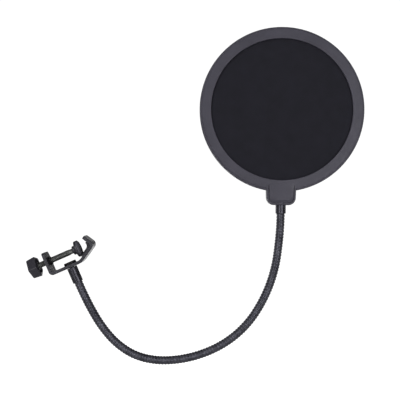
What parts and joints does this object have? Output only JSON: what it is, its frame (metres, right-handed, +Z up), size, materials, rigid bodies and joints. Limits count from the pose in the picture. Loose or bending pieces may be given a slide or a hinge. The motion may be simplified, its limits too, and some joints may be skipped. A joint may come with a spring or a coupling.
{
  "type": "microphone pop filter",
  "caption": "Round double-mesh microphone pop filter on a curved flexible gooseneck with a screw clamp.",
  "frame": {"origin": "middle of the clamp's jaw, where the axis of a gripped stand tube lies, at mid width", "axes": "+Y along the gripped tube and square to the mesh, away from the speaker; +X from the clamp towards the hoop; +Z up"},
  "size_m": [0.3166, 0.0195, 0.3167],
  "materials": {
    "hoop_plastic": "satin",
    "spacer_plastic": "matte",
    "nylon_mesh": "woven, matte",
    "gooseneck_steel": "black-plated wound steel, semi-gloss",
    "black_ferrule": "black, semi-gloss",
    "black_clamp_steel": "satin black coat",
    "black_bolt_steel": "black oxide",
    "plated_screw_steel": "dark zinc plate",
    "knob_plastic": "satin",
    "rubber": "matte"
  },
  "bodies": {
    "clamp": {"clamp_bracket": "black_clamp_steel", "jaw_lining": "rubber", "thread_nut": "black_bolt_steel", "neck_bolt": "black_bolt_steel", "lower_ferrule": "black_ferrule", "neck_section_01": "gooseneck_steel"},
    "neck_02": {"neck_section_02": "gooseneck_steel"},
    "neck_03": {"neck_section_03": "gooseneck_steel"},
    "neck_04": {"neck_section_04": "gooseneck_steel"},
    "neck_05": {"neck_section_05": "gooseneck_steel"},
    "neck_06": {"neck_section_06": "gooseneck_steel"},
    "neck_07": {"neck_section_07": "gooseneck_steel"},
    "neck_08": {"neck_section_08": "gooseneck_steel"},
    "neck_09": {"neck_section_09": "gooseneck_steel"},
    "neck_10": {"neck_section_10": "gooseneck_steel"},
    "neck_11": {"neck_section_11": "gooseneck_steel"},
    "neck_12": {"neck_section_12": "gooseneck_steel"},
    "neck_13": {"neck_section_13": "gooseneck_steel"},
    "neck_14": {"neck_section_14": "gooseneck_steel"},
    "neck_15": {"neck_section_15": "gooseneck_steel"},
    "hoop": {"neck_section_16": "gooseneck_steel", "upper_ferrule": "black_ferrule", "anchor_bolt": "black_bolt_steel", "front_hoop": "hoop_plastic", "rear_hoop": "hoop_plastic", "front_mesh": "nylon_mesh", "rear_mesh": "nylon_mesh", "mesh_spacer": "spacer_plastic", "tab_screw_left": "black_bolt_steel", "tab_screw_right": "black_bolt_steel"},
    "pad": {"pressure_pad": "black_clamp_steel", "pad_facing": "rubber"},
    "screw": {"clamp_screw": "plated_screw_steel", "clamp_knob": "knob_plastic"}
  },
  "joints": [
    {"name": "neck_bend_01", "type": "hinge", "parent": "clamp", "child": "neck_02", "pos_m": [0.00253, 0, -0.05167], "axis": [0, -1, 0], "range_deg": [-30, 9]},
    {"name": "neck_sway_02", "type": "hinge", "parent": "neck_02", "child": "neck_03", "pos_m": [0.01212, 0, -0.06893], "axis": [0.8517, 0, 0.524], "range_deg": [-15, 15]},
    {"name": "neck_bend_03", "type": "hinge", "parent": "neck_03", "child": "neck_04", "pos_m": [0.02388, 0, -0.08476], "axis": [0, -1, 0], "range_deg": [-30, 9]},
    {"name": "neck_sway_04", "type": "hinge", "parent": "neck_04", "child": "neck_05", "pos_m": [0.03876, 0, -0.09766], "axis": [0.5505, 0, 0.8348], "range_deg": [-15, 15]},
    {"name": "neck_bend_05", "type": "hinge", "parent": "neck_05", "child": "neck_06", "pos_m": [0.05677, 0, -0.10554], "axis": [0, -1, 0], "range_deg": [-30, 9]},
    {"name": "neck_sway_06", "type": "hinge", "parent": "neck_06", "child": "neck_07", "pos_m": [0.07634, 0, -0.10775], "axis": [-0.0175, 0, 0.9998], "range_deg": [-15, 15]},
    {"name": "neck_bend_07", "type": "hinge", "parent": "neck_07", "child": "neck_08", "pos_m": [0.09594, 0, -0.10561], "axis": [0, -1, 0], "range_deg": [-30, 9]},
    {"name": "neck_sway_08", "type": "hinge", "parent": "neck_08", "child": "neck_09", "pos_m": [0.11486, 0, -0.10002], "axis": [-0.3649, 0, 0.9311], "range_deg": [-15, 15]},
    {"name": "neck_bend_09", "type": "hinge", "parent": "neck_09", "child": "neck_10", "pos_m": [0.13245, 0, -0.09111], "axis": [0, -1, 0], "range_deg": [-30, 9]},
    {"name": "neck_sway_10", "type": "hinge", "parent": "neck_10", "child": "neck_11", "pos_m": [0.14792, 0, -0.0789], "axis": [-0.6984, 0, 0.7157], "range_deg": [-15, 15]},
    {"name": "neck_bend_11", "type": "hinge", "parent": "neck_11", "child": "neck_12", "pos_m": [0.16052, 0, -0.06373], "axis": [0, -1, 0], "range_deg": [-30, 9]},
    {"name": "neck_sway_12", "type": "hinge", "parent": "neck_12", "child": "neck_13", "pos_m": [0.17022, 0, -0.04655], "axis": [-0.9048, 0, 0.4258], "range_deg": [-15, 15]},
    {"name": "neck_bend_13", "type": "hinge", "parent": "neck_13", "child": "neck_14", "pos_m": [0.17727, 0, -0.02812], "axis": [0, -1, 0], "range_deg": [-30, 9]},
    {"name": "neck_sway_14", "type": "hinge", "parent": "neck_14", "child": "neck_15", "pos_m": [0.18153, 0, -0.00885], "axis": [-0.9898, 0, 0.1426], "range_deg": [-15, 15]},
    {"name": "neck_bend_15", "type": "hinge", "parent": "neck_15", "child": "hoop", "pos_m": [0.18381, 0, 0.01076], "axis": [0, -1, 0], "range_deg": [-30, 9]},
    {"name": "pad_travel", "type": "slide", "parent": "clamp", "child": "pad", "axis": [0.9171, 0, 0.3987], "range_m": [-0.02, 0.0005]},
    {"name": "screw_turn", "type": "hinge", "parent": "pad", "child": "screw", "pos_m": [0, 0, 0], "axis": [0.9171, 0, 0.3987], "range_deg": [-7200, 180]}
  ],
  "couplings": [
    {"joint": "screw_turn", "follows": "pad_travel", "rad_per_m": 6283.2}
  ]
}
